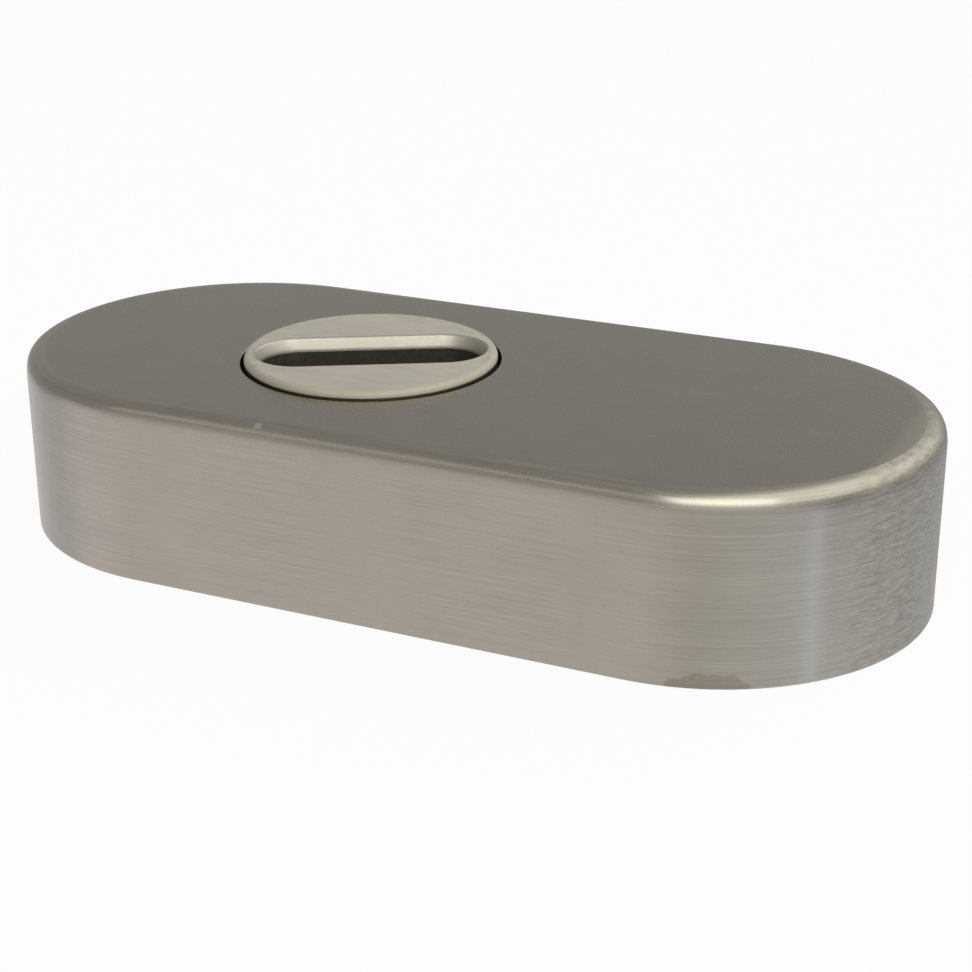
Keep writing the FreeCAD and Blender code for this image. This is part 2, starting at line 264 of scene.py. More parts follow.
def raise_face(outline, height):
    """Fills the outline and draws the face up, which closes the prism. Ends in edit mode."""
    edit(outline)
    bpy.ops.mesh.edge_face_add()
    bpy.ops.mesh.extrude_region_move(TRANSFORM_OT_translate={"value": (0, 0, height)})


def face_outwards(piece):
    """Turns all the piece's faces outwards."""
    edit(piece)
    bpy.ops.mesh.normals_make_consistent(inside=False)
    bpy.ops.object.mode_set(mode="OBJECT")


def cut(piece, *tools):
    """Cuts the tools' shapes out of the piece."""
    face_outwards(piece)
    for tool in tools:
        face_outwards(tool)
        apply_modifier(piece, "BOOLEAN", operation="DIFFERENCE", object=tool, solver="EXACT")
        bpy.data.objects.remove(tool)


def finish_shape(piece):
    """Merges doubles and sets normals that keep flat faces flat beside their roundings."""
    edit(piece)
    bpy.ops.mesh.remove_doubles(threshold=MERGE_DISTANCE)
    face_outwards(piece)
    bpy.ops.object.shade_smooth_by_angle(angle=SMOOTH_ANGLE)
    apply_modifier(piece, "WEIGHTED_NORMAL", keep_sharp=True)


# Materials


# Most of a noise texture's values lie between these.
NOISE_LOW, NOISE_HIGH = 0.25, 0.75

# How deep the grain's relief is.
GRAIN_DEPTH = 0.01 * MM

# A plain grain's marks, in millimetres along X, Y and Z. Blasting, pickling, plating and moulding
# leave marks of a few hundredths of a millimetre, so this is drawn coarser, as coarse as it needs
# to show.
PLAIN_GRAIN = (0.3333, 0.3333, 0.3333)

# Turning and grinding leave fine lines round a pin or a bush. The real ones are about 0.02 mm
# wide and are drawn coarser too.
TURNED_GRAIN = (5, 5, 0.125)

# The faint clouds that polishing and handling leave on any of the surfaces, in millimetres.
CLOUD_SIZE = 4.545

# The coarse strokes start at this place on the long axis, a little further out on the face than
# on the sides, and reach their full strength within the run.
COARSE_START = 31.8 * MM
FACE_COARSE_START = 32.0 * MM
COARSE_RUN = 1.8 * MM

# The raggedness of a spot's edge, and the distance from its centre over which it fades out. Both
# are shares of its reach, and the distance counts the raggedness in.
SPOT_RAGGEDNESS = 0.9
SPOT_FADE = (1.36, 1.46)


def scale_of(millimetres):
    """The scale at which a pattern's marks are this many millimetres across."""
    return 1 / (millimetres * MM)


def clear_nodes(owner):
    """Turns on the nodes of a material or a world, and gives its empty tree."""
    owner.use_nodes = True
    owner.node_tree.nodes.clear()
    return owner.node_tree


def add_node(tree, kind, values=None, links=None, **options):
    """Adds a node, sets its options and sockets, and links it from (node, output) pairs."""
    made = tree.nodes.new(kind)
    for name, value in options.items():
        setattr(made, name, value)
    for name, value in (values or {}).items():
        made.inputs[name].default_value = value
    for name, (source, output) in (links or {}).items():
        tree.links.new(source.outputs[output], made.inputs[name])
    return made


def grained(name, colour, roughness, grain=PLAIN_GRAIN, turn=0.0, tone=0.06, rough_spread=0.05,
            bump=0.3, cloud=0.03, metallic=1.0, anisotropic=0.0, layers=(), end_rough=0.0,
            end_start=COARSE_START):
    """A metal or plastic with a grain of marks of three sizes, in millimetres.

    The marks run along X, turned round Z by the turn. They lighten and darken the colour by the
    tone, change the roughness by its spread and stand out by the bump, and wide clouds lighten
    and darken it too. Each layer is a function that changes the colour where something lies on
    the surface, and the end that is away from the disc is rougher by end_rough.
    """
    material = bpy.data.materials.new(name)
    tree = clear_nodes(material)
    place = add_node(tree, "ShaderNodeTexCoord")
    along = add_node(tree, "ShaderNodeMapping",
                     {"Rotation": (0, 0, -turn), "Scale": [scale_of(size) for size in grain]},
                     {"Vector": (place, "Object")})
    fine = add_node(tree, "ShaderNodeTexNoise", {"Scale": 1.0, "Detail": 3.0, "Roughness": 0.6},
                    {"Vector": (along, "Vector")})
    wide = add_node(tree, "ShaderNodeTexNoise", {"Scale": scale_of(CLOUD_SIZE), "Detail": 2.0},
                    {"Vector": (place, "Object")})
    fine_tone = add_node(tree, "ShaderNodeMapRange",
                         {"From Min": NOISE_LOW, "From Max": NOISE_HIGH, "To Min": 1 - tone,
                          "To Max": 1 + tone}, {"Value": (fine, "Fac")})
    wide_tone = add_node(tree, "ShaderNodeMapRange",
                         {"From Min": NOISE_LOW, "From Max": NOISE_HIGH, "To Min": 1 - cloud,
                          "To Max": 1 + cloud}, {"Value": (wide, "Fac")})
    level = add_node(tree, "ShaderNodeMath", None,
                     {0: (fine_tone, "Result"), 1: (wide_tone, "Result")}, operation="MULTIPLY")
    tinted = add_node(tree, "ShaderNodeVectorMath", {0: colour}, {"Scale": (level, "Value")},
                      operation="SCALE")
    for layer in layers:
        tinted = layer(tree, place, tinted)
    rough = add_node(tree, "ShaderNodeMapRange",
                     {"From Min": NOISE_LOW, "From Max": NOISE_HIGH,
                      "To Min": roughness - rough_spread, "To Max": roughness + rough_spread},
                     {"Value": (fine, "Fac")})
    if end_rough:
        reach = coarse_reach(tree, place, end_start)
        rough = add_node(tree, "ShaderNodeMath", {1: end_rough},
                         {0: (reach, "Result"), 2: (rough, "Result")}, operation="MULTIPLY_ADD")
    relief = add_node(tree, "ShaderNodeBump", {"Strength": bump, "Distance": GRAIN_DEPTH},
                      {"Height": (fine, "Fac")})
    # A quarter turn lays the drawn-out gloss across the brush strokes, as real strokes do.
    shader = add_node(tree, "ShaderNodeBsdfPrincipled",
                      {"Metallic": metallic, "Anisotropic": anisotropic,
                       "Anisotropic Rotation": 0.25 if anisotropic else 0.0},
                      {"Base Color": (tinted, "Vector"), "Roughness": (rough, 0),
                       "Normal": (relief, "Normal")})
    add_node(tree, "ShaderNodeOutputMaterial", None, {"Surface": (shader, "BSDF")})
    return material


def coarse_reach(tree, place, start):
    """Where the coarse strokes are: 0 before the start on the long axis, 1 at the far end."""
    parts = add_node(tree, "ShaderNodeSeparateXYZ", None, {0: (place, "Object")})
    return add_node(tree, "ShaderNodeMapRange",
                    {"From Min": start, "From Max": start + COARSE_RUN}, {"Value": (parts, "X")},
                    interpolation_type="SMOOTHSTEP")


def coarse_strokes(tree, place, colour, depth=0.26):
    """Coarse, uneven strokes round the cover's end that is away from the disc.

    They are about 1 mm long and 0.2 mm wide, as a coarse belt leaves them, and lighten and darken
    the steel by the depth.
    """
    size = (1.111, 1.111, 0.1923)
    along = add_node(tree, "ShaderNodeMapping", {"Scale": [scale_of(part) for part in size]},
                     {"Vector": (place, "Object")})
    strokes = add_node(tree, "ShaderNodeTexNoise",
                       {"Scale": 1.0, "Detail": 4.0, "Roughness": 0.65, "Distortion": 0.4},
                       {"Vector": (along, "Vector")})
    reach = coarse_reach(tree, place, COARSE_START)
    tone = add_node(tree, "ShaderNodeMapRange",
                    {"From Min": 0.3, "From Max": 0.7, "To Min": -depth, "To Max": depth},
                    {"Value": (strokes, "Fac")})
    level = add_node(tree, "ShaderNodeMath", {2: 1.0},
                     {0: (tone, "Result"), 1: (reach, "Result")}, operation="MULTIPLY_ADD")
    return add_node(tree, "ShaderNodeVectorMath", None,
                    {0: (colour, "Vector"), "Scale": (level, "Value")}, operation="SCALE")


def spot(tree, place, colour, centre, reach, grain, tint):
    """Tints the colour in a ragged patch. Its centre, reach and grain are in millimetres."""
    centred = add_node(tree, "ShaderNodeVectorMath", {1: [part * MM for part in centre]},
                       {0: (place, "Object")}, operation="SUBTRACT")
    shaped = add_node(tree, "ShaderNodeVectorMath", {1: [scale_of(part) for part in reach]},
                      {0: (centred, "Vector")}, operation="MULTIPLY")
    distance = add_node(tree, "ShaderNodeVectorMath", None, {0: (shaped, "Vector")},
                        operation="LENGTH")
    ragged = add_node(tree, "ShaderNodeTexNoise", {"Scale": scale_of(grain), "Detail": 3.0},
                      {"Vector": (place, "Object")})
    edge = add_node(tree, "ShaderNodeMath", {1: SPOT_RAGGEDNESS},
                    {0: (ragged, "Fac"), 2: (distance, "Value")}, operation="MULTIPLY_ADD")
    share = add_node(tree, "ShaderNodeMapRange",
                     {"From Min": SPOT_FADE[0], "From Max": SPOT_FADE[1], "To Min": 1.0,
                      "To Max": 0.0}, {"Value": (edge, "Value")})
    change = add_node(tree, "ShaderNodeVectorMath", {0: [part - 1 for part in tint]},
                      {"Scale": (share, "Result")}, operation="SCALE")
    return add_node(tree, "ShaderNodeVectorMath", None,
                    {0: (colour, "Vector"), 1: (change, "Vector"), 2: (colour, "Vector")},
                    operation="MULTIPLY_ADD")


def low_front_patch(tree, place, colour):
    """A brownish, darker patch with a ragged edge, low on the cover's front."""
    return spot(tree, place, colour, centre=(24.9, -15.6, 0), reach=(2.7, 3, 1.2), grain=1.111,
                tint=(0.80, 0.77, 0.72))


def scuff(tree, place, colour):
    """A small bright scuff on the long front edge, before the disc."""
    return spot(tree, place, colour, centre=(-8.3, -15.9, 13.6), reach=(0.3, 0.3, 0.3),
                grain=0.1667, tint=(1.5, 1.5, 1.45))


def cover_materials(finish):
    """Stainless steel, brushed along the sides and blasted fine on the face.

    The brush leaves fine strokes that run round the cover and draw every reflection out up and
    down. They are about 0.05 mm wide and drawn at 0.08 mm, a pixel's width. The blasted face
    breaks its reflections up into an even, dull grey, and its colour is a shade darker than the
    sides' as painted shade that keeps the lamps' reflection in it from burning out. Its marks of
    0.05 mm are drawn at 0.2 mm.
    """
    side = grained("brushed_stainless_side", finish.cover, 0.28, grain=(16.67, 16.67, 0.08333),
                   tone=0.14, rough_spread=0.04, anisotropic=0.8, end_rough=0.12,
                   layers=(coarse_strokes, low_front_patch, scuff))
    # The face's colour, a shade darker than the sides', is painted shade against the lamps'
    # reflection burning out.
    face = grained("matt_stainless_face_painted_shade", finish.face, 0.25, grain=(0.2, 0.2, 0.2), tone=0.05,
                   bump=0.15, end_rough=0.18, end_start=FACE_COARSE_START)
    return side, face


def disc_materials(finish, turn):
    """Hardened stainless steel, in its own finish on each part of the disc.

    The face is rubbed along the slot, which gives a pale satin with faint strokes, drawn at 0.3 mm
    and in truth a fifth of that. The slot's walls and the disc's neck are milled and lie in shade,
    and their dark colour is painted shade. The lead-in at its mouth is a clean cut that catches
    the light, and the turned rim is duller than its face; the colours of both are the face's steel
    darkened as painted shade, which tones their highlights down.
    """
    face = grained("satin_stainless_disc", finish.disc, 0.6, grain=(2.5, 0.2857, 0.2857),
                   turn=turn)
    # The dark colour of the slot and the neck is painted shade.
    slot = grained("milled_slot_painted_shade", finish.slot, 0.5)
    # The lead-in's colour, darker than the face's, is painted shade that tones its highlight down.
    lip = grained("milled_lip_painted_shade", finish.lip, 0.5, tone=0.04)
    # The rim's colour, darker than the face's, is painted shade that tones its highlight down; its
    # higher roughness is its own.
    rim = grained("turned_rim_painted_shade", finish.rim, 0.8, tone=0.04)
    return face, slot, lip, rim


def spring_material(finish):
    """Hard-drawn spring steel under a film of oil: dark, with a smooth sheen."""
    made = bpy.data.materials.get("oiled_spring_steel")
    return made or grained("oiled_spring_steel", finish.spring, 0.3)


def inner_materials(finish):
    """The finishes of the working parts, by their material slots."""
    return {
        # Zinc phosphate: a dark, dry grey that hardly shines.
        "base_steel": grained("phosphated_steel", finish.base, 0.5),
        # Hardening scale, blued in oil: nearly black, with a soft gloss.
        "hardened_steel": grained("blued_steel", finish.hardened, 0.35),
        # Bright zinc plate: a light, slightly blue metal with a clear gloss.
        "plated_steel": grained("zinc_plate", finish.plated, 0.28),
        # Ground bar: bright, with fine lines round it.
        "ground_pin_steel": grained("ground_steel", finish.ground, 0.22, TURNED_GRAIN),
        "spring_steel": spring_material(finish),
        # Turned brass: warm and bright, with the tool's lines round it.
        "bearing_brass": grained("turned_brass", finish.brass, 0.3, TURNED_GRAIN),
        # Moulded nylon: an even, slightly warm white with a soft gloss.
        "white_nylon": grained("moulded_nylon", finish.nylon, 0.5, metallic=0.0),
        # Closed-cell rubber: black and dull.
        "gasket_rubber": grained("closed_cell_rubber", finish.rubber, 0.85, metallic=0.0),
    }


def dress(piece, *materials):
    """Gives the piece these materials, in the order of its faces' indices, in place of its own."""
    piece.data.materials.clear()
    for material in materials:
        piece.data.materials.append(material)


# Pieces


class ESCUTCHEON_OT_oval_cover(bpy.types.Operator):
    """Model the drawn oval cover with its hole for the disc"""
    bl_idname = "escutcheon.oval_cover"
    bl_label = "Oval Cover"

    def execute(self, context):
        sizes = context.scene.escutcheon_sizes
        low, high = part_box("cover_shell")
        length, width = high.x - low.x, high.y - low.y
        top = high.z
        inner_top = top - sizes.cover_top
        wall = sizes.cover_wall
        cover = oval_outline(length, width, 0)
        cover.name = "oval_cover"
        raise_face(cover, top)
        round_edges(at_height(top), sizes.cover_edge, ROUNDING_STEPS, SOFT_PROFILE)
        inner = oval_outline(length - 2 * wall, width - 2 * wall, -sizes.cover_top)
        raise_face(inner, top)
        round_edges(at_height(inner_top), sizes.cover_inner_edge, INNER_ROUNDING_STEPS)
        hole = circle_outline(sizes.hole_diameter / 2, inner_top - sizes.cover_top,
                              sizes.disc_axis)
        raise_face(hole, 3 * sizes.cover_top)
        cut(cover, inner, hole, *self.groove_tools(sizes, width / 2 - wall))
        axis = Vector((sizes.disc_axis, 0))
        hole_reach = sizes.hole_diameter / 2 + HAIR

        def hole_edge(edge):
            near = all((v.co.xy - axis).length < hole_reach for v in edge.verts)
            return near and at_height(top)(edge)

        def rim_edge(edge):
            beside_wall = any(abs(face.normal.z) < STEEP for face in edge.link_faces)
            return beside_wall and at_height(0)(edge)

        edit(cover)
        round_edges(hole_edge, sizes.hole_edge, SMALL_ROUNDING_STEPS)
        round_edges(rim_edge, sizes.cover_rim, SMALL_ROUNDING_STEPS)
        finish_shape(cover)
        dress(cover, *cover_materials(context.scene.escutcheon_finish))
        side, face = range(2)
        for polygon in cover.data.polygons:
            at_hole = (polygon.center.xy - axis).length < hole_reach + sizes.hole_edge
            polygon.material_index = face if polygon.normal.z > LEVEL or at_hole else side
        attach(cover, "escutcheon")
        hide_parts("cover_shell")
        return {"FINISHED"}

    def groove_tools(self, sizes, wall_face):
        """Blocks for the four shallow grooves that the cover clips spring into."""
        deselect()
        tools = []
        height = sizes.clip_groove_high - sizes.clip_groove_low
        for x in (-sizes.clip_x, sizes.clip_x):
            for side in (-1, 1):
                bpy.ops.mesh.primitive_cube_add(
                    size=1, location=(x, side * wall_face, sizes.clip_groove_low + height / 2),
                    scale=(sizes.clip_groove_length, 2 * sizes.clip_groove_depth, height))
                bpy.ops.object.transform_apply()
                tools.append(bpy.context.active_object)
        return tools


class ESCUTCHEON_OT_key_disc(bpy.types.Operator):
    """Model the turning disc with its rounded rim and key slot"""
    bl_idname = "escutcheon.key_disc"
    bl_label = "Key Disc"

    def execute(self, context):
        sizes = context.scene.escutcheon_sizes
        low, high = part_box("key_disc")
        bottom, top = low.z, high.z
        disc = circle_outline(sizes.spigot_diameter / 2, bottom, 0)
        disc.name = "key_disc_face"
        raise_face(disc, sizes.flange_low - bottom)
        self.step_out(sizes.flange_diameter / sizes.spigot_diameter, sizes.flange_low,
                      sizes.flange_high)
        self.step_out(sizes.disc_diameter / sizes.flange_diameter, sizes.flange_high, top)
        round_edges(at_height(top), sizes.disc_rim, ROUNDING_STEPS)
        cut(disc, self.slot_tool(sizes, bottom, top), *self.pin_tools(sizes, bottom))
        reach = Vector((sizes.slot_length / 2 + HAIR, sizes.slot_width / 2 + HAIR))

        def mouth_edge(edge):
            inside = all(abs(v.co.x) < reach.x and abs(v.co.y) < reach.y for v in edge.verts)
            return inside and (at_height(top)(edge)
                               or at_height(top - sizes.slot_lead_depth)(edge))

        edit(disc)
        round_edges(mouth_edge, sizes.slot_edge, SMALL_ROUNDING_STEPS)
        take(disc)
        disc.rotation_euler.z = sizes.slot_turn
        disc.location.x = sizes.disc_axis
        bpy.ops.object.transform_apply()
        finish_shape(disc)
        dress(disc, *disc_materials(context.scene.escutcheon_finish, sizes.slot_turn))
        slot, lip, rim = range(1, 4)
        axis = Vector((sizes.disc_axis, 0))
        rim_start = sizes.disc_diameter / 2 - sizes.disc_rim
        lip_foot = top - sizes.slot_lead_depth - sizes.slot_edge
        for polygon in disc.data.polygons:
            height = polygon.center.z
            # Everything below the lead-in's foot, the slot's walls and the neck, takes the slot's
            # dark colour, which is painted shade.
            if bottom + HAIR < height < lip_foot:
                polygon.material_index = slot
            # The lead-in and the rim take colours darkened as painted shade on their highlights.
            elif lip_foot <= height < top - HAIR:
                inside = (polygon.center.xy - axis).length < rim_start
                polygon.material_index = lip if inside else rim
        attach(disc, "turning_disc")
        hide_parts("key_disc")
        return {"FINISHED"}

    def step_out(self, scale, low, high):
        """Steps the selected end face out or in by the scale, and draws it up to the height."""
        bpy.ops.mesh.extrude_region_move()
        bpy.ops.transform.resize(value=(scale, scale, 1), center_override=(0, 0, low))
        bpy.ops.mesh.extrude_region_move(TRANSFORM_OT_translate={"value": (0, 0, high - low)})

    def slot_tool(self, sizes, bottom, top):
        """The key's way: a mouth with its lead-in, a wide groove and a narrow way through."""
        over, deep = sizes.slot_lead_in, sizes.slot_lead_depth
        slot = oval_outline(sizes.slot_length + 2 * over, sizes.slot_width + 2 * over,
                            top + 2 * deep)
        raise_face(slot, -deep)
        bpy.ops.mesh.inset(thickness=2 * over, depth=0)
        bpy.ops.transform.translate(value=(0, 0, -2 * deep))
        bpy.ops.mesh.extrude_region_move(
            TRANSFORM_OT_translate={"value": (0, 0, deep - sizes.slot_depth)})
        bpy.ops.mesh.inset(thickness=sizes.slot_step, depth=0)
        bpy.ops.mesh.extrude_region_move(
            TRANSFORM_OT_translate={"value": (0, 0, bottom - top)})
        return slot

    def pin_tools(self, sizes, bottom):
        """Pegs for the blind holes that the hard pins sit in."""
        deselect()
        tools = []
        for side in (-1, 1):
            bpy.ops.mesh.primitive_cylinder_add(
                vertices=PEG_STEPS, radius=sizes.pin_diameter / 2, depth=2 * sizes.pin_depth,
                location=(0, side * sizes.pin_offset, bottom))
            bpy.ops.object.transform_apply()
            tools.append(bpy.context.active_object)
        return tools


class ESCUTCHEON_OT_depth_springs(bpy.types.Operator):
    """Model the springs behind the disc, which shorten as it is pressed in"""
    bl_idname = "escutcheon.depth_springs"
    bl_label = "Depth Springs"

    def execute(self, context):
        sizes = context.scene.escutcheon_sizes
        material = spring_material(context.scene.escutcheon_finish)
        for number in range(1, 5):
            node = f"depth_spring_{number}"
            low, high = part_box(node)
            spring = self.coil(sizes, (low + high) / 2, high.x - low.x, low.z, high.z)
            spring.name = f"coiled_{node}"
            finish_shape(spring)
            dress(spring, material)
            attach(spring, "escutcheon")
            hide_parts(node)
            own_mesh(spring)
        return {"FINISHED"}

    def coil(self, sizes, middle, outside, low, high):
        """A round wire that is wound up from its seat, with both ends closed."""
        wire = sizes.spring_wire
        deselect()
        bpy.ops.mesh.primitive_circle_add(
            vertices=WIRE_STEPS, radius=wire / 2, rotation=(math.radians(90), 0, 0),
            location=((outside - wire) / 2, 0, low + wire / 2))
        bpy.ops.object.transform_apply()
        spring = bpy.context.active_object
        steps = round(sizes.spring_turns * TURN_STEPS)
        apply_modifier(spring, "SCREW", angle=math.tau * sizes.spring_turns,
                       screw_offset=high - low - wire, steps=steps, render_steps=steps)
        edit(spring)
        bpy.ops.mesh.fill_holes(sides=0)
        bpy.ops.object.mode_set(mode="OBJECT")
        spring.location = (middle.x, middle.y, 0)
        bpy.ops.object.transform_apply()
        return spring


class ESCUTCHEON_OT_inner_parts(bpy.types.Operator):
    """Give the working parts behind the cover their finishes"""
    bl_idname = "escutcheon.inner_parts"
    bl_label = "Inner Parts"

    def execute(self, context):
        materials = inner_materials(context.scene.escutcheon_finish)
        for part in frame["record"]["subparts"]:
            if part["material_slot"] in materials:
                dress(frame["nodes"][part["node"]], materials[part["material_slot"]])
        return {"FINISHED"}


# Studio


# The white of the floor and the backdrop as the camera sees them, a little below full white. The
# floor gives it by its glow, but for the share of real paper that keeps the object's shadow.
PAPER_WHITE = 0.982
GLOW_SHARE = 0.96
PAPER_TONE = (0.85, 0.85, 0.85, 1)

# The floor's width in metres, and how far under the escutcheon's back it lies.
FLOOR_SIZE = 8
FLOOR_GAP = 0.05 * MM

# How far inside the cover's outline the floor is dark.
DARK_MARGIN = 1 * MM

# The table's tone by the direction in degrees that it is seen in, with 0 at -Y and 90 at +X.
TABLE_TONES = (
    (-180, (0.80, 0.82, 0.85)), (-92, (0.80, 0.82, 0.85)), (-86, (0.81, 0.83, 0.88)),
    (-66, (1.06, 1.04, 1.08)), (-46, (1.06, 1.04, 1.08)), (-36, (1.01, 1.0, 1.03)),
    (-24, (0.97, 0.95, 0.95)), (-10, (0.96, 0.96, 0.99)), (8, (0.82, 0.83, 0.85)),
    (18, (0.79, 0.80, 0.80)), (40, (0.84, 0.86, 0.88)), (54, (0.87, 0.91, 0.95)),
    (70, (0.90, 0.94, 0.99)), (72, (1.3, 1.5, 1.9)), (75, (1.3, 1.5, 1.9)),
    (77, (1.04, 1.08, 1.14)), (90, (1.16, 1.2, 1.28)), (110, (1.25, 1.29, 1.39)),
    (135, (1.12, 1.18, 1.28)), (150, (0.92, 0.98, 1.06)), (180, (0.80, 0.83, 0.86)))

# How far below the horizon the table ends, as the sine of the angle, by the same direction, and
# how far above and below that it fades into the walls.
TABLE_EDGES = tuple((direction, (drop, drop, drop)) for direction, drop in (
    (-180, 0.34), (-150, 0.19), (-90, 0.19), (-70, 0.0), (-20, 0.0), (5, 0.15), (60, 0.15),
    (80, 0.34), (180, 0.34)))
TABLE_FADE = 0.12

# The tone of the walls above it.
WALL_TONES = tuple((direction, (tone, tone, 0.995 * tone)) for direction, tone in (
    (-180, 0.42), (60, 0.42), (85, 0.24), (125, 0.24), (150, 0.42), (180, 0.42)))

# The ceiling's tone, and the heights and the places towards +X over which it fades in, as parts of
# the direction's unit vector. It leans: the place is measured back by this share of the height.
CEILING_TONE = (1.62, 1.66, 1.59, 1)
CEILING_HEIGHTS = (0.12, 0.42)
CEILING_PLACES = (-0.25, -0.11)
CEILING_LEAN = 0.25

# How far the softboxes are from the escutcheon, and their slightly warm light.
LAMP_DISTANCE = 450 * MM
LAMP_COLOUR = (1.0, 0.99, 0.97)

# The photograph's view, from a fit of the outline and the disc: the camera's direction in degrees,
# the place that it looks at, its distance from there, its lens and sensor in millimetres, its roll
# in radians and the nearest distance that it shows.
CAMERA_AZIMUTH = 24.897
CAMERA_ELEVATION = 22.066
CAMERA_AIM = (-3.325 * MM, 10.917 * MM, 0)
CAMERA_DISTANCE = 167.05 * MM
CAMERA_LENS = 75.486
CAMERA_SENSOR = 36.0
CAMERA_ROLL = -0.0045
CAMERA_CLIP = 10 * MM


def direction(azimuth, elevation):
    """The unit vector at these angles in degrees. Azimuth 0 is at -Y and 90 at +X."""
    a, e = math.radians(azimuth), math.radians(elevation)
    return Vector((math.sin(a) * math.cos(e), -math.cos(a) * math.cos(e), math.sin(e)))


def face_back(thing, back, roll=0.0):
    """Turns a camera or a lamp so that the given direction is behind it."""
    thing.rotation_mode = "QUATERNION"
    thing.rotation_quaternion = ((-back).to_track_quat("-Z", "Y")
                                 @ Quaternion((0, 0, 1), roll))


def place_tones(ramp, tones):
    """Gives a colour ramp over all directions its tones, each at its direction in degrees."""
    points = ramp.color_ramp.elements
    while len(points) < len(tones):
        points.new(0.5)
    for point, (degrees, colour) in zip(points, tones):
        point.position = degrees / 360 + 0.5
        point.color = (*colour, 1)


